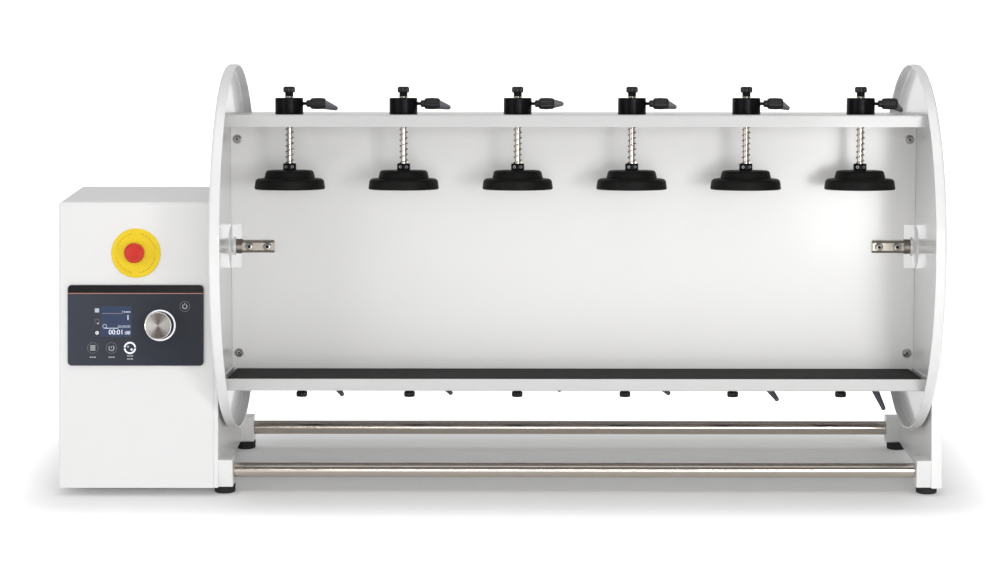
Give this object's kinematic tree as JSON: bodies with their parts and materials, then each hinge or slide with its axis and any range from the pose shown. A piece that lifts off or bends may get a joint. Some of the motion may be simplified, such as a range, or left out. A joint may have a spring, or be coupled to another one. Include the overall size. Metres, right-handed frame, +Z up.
{
  "type": "overhead rotator",
  "caption": "Bench overhead rotator: drive housing, end frame and a wide rotor with two bottle bays under spring-loaded clamps.",
  "frame": {"origin": "on the surface under the feet, at the middle of the overall width and depth", "axes": "+Z up, -Y towards the front with the control panel, +X along the turning axis, away from the drive housing"},
  "size_m": [1.076, 0.455, 0.5155],
  "materials": {
    "white_paint": "semi-gloss powder coat",
    "foot_rubber": "matt",
    "stainless": "ground",
    "screw_steel": "satin",
    "bearing_steel": "ground",
    "motor_housing": "cast, painted",
    "board": "solder mask",
    "black_plastic": "satin",
    "panel_glass": "gloss, back-printed",
    "knob_steel": "turned face",
    "yellow_plastic": "satin",
    "red_plastic": "satin",
    "mat_rubber": "fine grain",
    "clamp_black": "black anodised, gloss",
    "pad_rubber": "matt",
    "lever_black": "satin",
    "spring_steel": "bright wire"
  },
  "bodies": {
    "base": {"housing_shell": "white_paint", "chassis": "white_paint", "drive_side_frame": "white_paint", "end_side_frame": "white_paint", "rubber_feet": "foot_rubber", "tie_rods": "stainless", "frame_screws": "screw_steel", "shaft_bearings": "bearing_steel", "gear_motor": "motor_housing", "control_electronics": "board", "mains_inlet": "black_plastic", "control_panel": "panel_glass", "stop_collar": "yellow_plastic"},
    "knob": {"control_knob": "knob_steel"},
    "stop_button": {"stop_cap": "red_plastic"},
    "rotor": {"end_disc_left": "white_paint", "end_disc_right": "white_paint", "stub_shafts": "stainless", "web_panel": "white_paint", "top_shelf": "white_paint", "bottom_shelf": "white_paint", "bay_mats": "mat_rubber", "clamp_bodies": "clamp_black", "rotor_screws": "screw_steel", "spring_01": "spring_steel", "spring_02": "spring_steel", "spring_03": "spring_steel", "spring_04": "spring_steel", "spring_05": "spring_steel", "spring_06": "spring_steel", "spring_07": "spring_steel", "spring_08": "spring_steel", "spring_09": "spring_steel", "spring_10": "spring_steel", "spring_11": "spring_steel", "spring_12": "spring_steel"},
    "plunger_01_body": {"plunger_01": "pad_rubber"},
    "lever_01_body": {"clamp_lever_01": "lever_black"},
    "plunger_02_body": {"plunger_02": "pad_rubber"},
    "lever_02_body": {"clamp_lever_02": "lever_black"},
    "plunger_03_body": {"plunger_03": "pad_rubber"},
    "lever_03_body": {"clamp_lever_03": "lever_black"},
    "plunger_04_body": {"plunger_04": "pad_rubber"},
    "lever_04_body": {"clamp_lever_04": "lever_black"},
    "plunger_05_body": {"plunger_05": "pad_rubber"},
    "lever_05_body": {"clamp_lever_05": "lever_black"},
    "plunger_06_body": {"plunger_06": "pad_rubber"},
    "lever_06_body": {"clamp_lever_06": "lever_black"},
    "plunger_07_body": {"plunger_07": "pad_rubber"},
    "lever_07_body": {"clamp_lever_07": "lever_black"},
    "plunger_08_body": {"plunger_08": "pad_rubber"},
    "lever_08_body": {"clamp_lever_08": "lever_black"},
    "plunger_09_body": {"plunger_09": "pad_rubber"},
    "lever_09_body": {"clamp_lever_09": "lever_black"},
    "plunger_10_body": {"plunger_10": "pad_rubber"},
    "lever_10_body": {"clamp_lever_10": "lever_black"},
    "plunger_11_body": {"plunger_11": "pad_rubber"},
    "lever_11_body": {"clamp_lever_11": "lever_black"},
    "plunger_12_body": {"plunger_12": "pad_rubber"},
    "lever_12_body": {"clamp_lever_12": "lever_black"}
  },
  "joints": [
    {"name": "rotor_spin", "type": "hinge", "parent": "base", "child": "rotor", "pos_m": [0.091, 0, 0.288], "axis": [1, 0, 0], "continuous": true},
    {"name": "control_knob_turn", "type": "hinge", "parent": "base", "child": "knob", "pos_m": [-0.4134, -0.10917, 0.20613], "axis": [0, -0.9882, 0.153], "continuous": true},
    {"name": "stop_cap_push", "type": "slide", "parent": "base", "child": "stop_button", "axis": [0, 0.9882, -0.153], "range_m": [0, 0.004], "stiffness_N_per_m": 1500, "springref_m": -0.002},
    {"name": "plunger_01_slide", "type": "slide", "parent": "rotor", "child": "plunger_01_body", "axis": [0, 0.075, 0.9972], "range_m": [0, 0.036], "stiffness_N_per_m": 400, "springref_m": -0.02, "deforming": ["spring_01"]},
    {"name": "clamp_lever_01_turn", "type": "hinge", "parent": "rotor", "child": "lever_01_body", "pos_m": [-0.2565, -0.06434, 0.47254], "axis": [1, 0, 0], "range_deg": [-5, 205]},
    {"name": "plunger_02_slide", "type": "slide", "parent": "rotor", "child": "plunger_02_body", "axis": [0, 0.075, 0.9972], "range_m": [0, 0.036], "stiffness_N_per_m": 400, "springref_m": -0.02, "deforming": ["spring_02"]},
    {"name": "clamp_lever_02_turn", "type": "hinge", "parent": "rotor", "child": "lever_02_body", "pos_m": [-0.1175, -0.06434, 0.47254], "axis": [1, 0, 0], "range_deg": [-7, 203]},
    {"name": "plunger_03_slide", "type": "slide", "parent": "rotor", "child": "plunger_03_body", "axis": [0, 0.075, 0.9972], "range_m": [0, 0.036], "stiffness_N_per_m": 400, "springref_m": -0.02, "deforming": ["spring_03"]},
    {"name": "clamp_lever_03_turn", "type": "hinge", "parent": "rotor", "child": "lever_03_body", "pos_m": [0.0215, -0.06434, 0.47254], "axis": [1, 0, 0], "range_deg": [-14, 196]},
    {"name": "plunger_04_slide", "type": "slide", "parent": "rotor", "child": "plunger_04_body", "axis": [0, 0.075, 0.9972], "range_m": [0, 0.036], "stiffness_N_per_m": 400, "springref_m": -0.02, "deforming": ["spring_04"]},
    {"name": "clamp_lever_04_turn", "type": "hinge", "parent": "rotor", "child": "lever_04_body", "pos_m": [0.1605, -0.06434, 0.47254], "axis": [1, 0, 0], "range_deg": [-8, 202]},
    {"name": "plunger_05_slide", "type": "slide", "parent": "rotor", "child": "plunger_05_body", "axis": [0, 0.075, 0.9972], "range_m": [0, 0.036], "stiffness_N_per_m": 400, "springref_m": -0.02, "deforming": ["spring_05"]},
    {"name": "clamp_lever_05_turn", "type": "hinge", "parent": "rotor", "child": "lever_05_body", "pos_m": [0.2995, -0.06434, 0.47254], "axis": [1, 0, 0], "range_deg": [-6, 204]},
    {"name": "plunger_06_slide", "type": "slide", "parent": "rotor", "child": "plunger_06_body", "axis": [0, 0.075, 0.9972], "range_m": [0, 0.036], "stiffness_N_per_m": 400, "springref_m": -0.02, "deforming": ["spring_06"]},
    {"name": "clamp_lever_06_turn", "type": "hinge", "parent": "rotor", "child": "lever_06_body", "pos_m": [0.4385, -0.06434, 0.47254], "axis": [1, 0, 0], "range_deg": [-2, 208]},
    {"name": "plunger_07_slide", "type": "slide", "parent": "rotor", "child": "plunger_07_body", "axis": [0, -0.075, -0.9972], "range_m": [0, 0.036], "stiffness_N_per_m": 400, "springref_m": -0.02, "deforming": ["spring_07"]},
    {"name": "clamp_lever_07_turn", "type": "hinge", "parent": "rotor", "child": "lever_07_body", "pos_m": [-0.2565, 0.06434, 0.10346], "axis": [1, 0, 0], "range_deg": [-37, 173]},
    {"name": "plunger_08_slide", "type": "slide", "parent": "rotor", "child": "plunger_08_body", "axis": [0, -0.075, -0.9972], "range_m": [0, 0.036], "stiffness_N_per_m": 400, "springref_m": -0.02, "deforming": ["spring_08"]},
    {"name": "clamp_lever_08_turn", "type": "hinge", "parent": "rotor", "child": "lever_08_body", "pos_m": [-0.1175, 0.06434, 0.10346], "axis": [1, 0, 0], "range_deg": [-34, 176]},
    {"name": "plunger_09_slide", "type": "slide", "parent": "rotor", "child": "plunger_09_body", "axis": [0, -0.075, -0.9972], "range_m": [0, 0.036], "stiffness_N_per_m": 400, "springref_m": -0.02, "deforming": ["spring_09"]},
    {"name": "clamp_lever_09_turn", "type": "hinge", "parent": "rotor", "child": "lever_09_body", "pos_m": [0.0215, 0.06434, 0.10346], "axis": [1, 0, 0], "range_deg": [-27, 183]},
    {"name": "plunger_10_slide", "type": "slide", "parent": "rotor", "child": "plunger_10_body", "axis": [0, -0.075, -0.9972], "range_m": [0, 0.036], "stiffness_N_per_m": 400, "springref_m": -0.02, "deforming": ["spring_10"]},
    {"name": "clamp_lever_10_turn", "type": "hinge", "parent": "rotor", "child": "lever_10_body", "pos_m": [0.1605, 0.06434, 0.10346], "axis": [1, 0, 0], "range_deg": [-34, 176]},
    {"name": "plunger_11_slide", "type": "slide", "parent": "rotor", "child": "plunger_11_body", "axis": [0, -0.075, -0.9972], "range_m": [0, 0.036], "stiffness_N_per_m": 400, "springref_m": -0.02, "deforming": ["spring_11"]},
    {"name": "clamp_lever_11_turn", "type": "hinge", "parent": "rotor", "child": "lever_11_body", "pos_m": [0.2995, 0.06434, 0.10346], "axis": [1, 0, 0], "range_deg": [-49, 161]},
    {"name": "plunger_12_slide", "type": "slide", "parent": "rotor", "child": "plunger_12_body", "axis": [0, -0.075, -0.9972], "range_m": [0, 0.036], "stiffness_N_per_m": 400, "springref_m": -0.02, "deforming": ["spring_12"]},
    {"name": "clamp_lever_12_turn", "type": "hinge", "parent": "rotor", "child": "lever_12_body", "pos_m": [0.4385, 0.06434, 0.10346], "axis": [1, 0, 0], "range_deg": [-87, 123]}
  ]
}
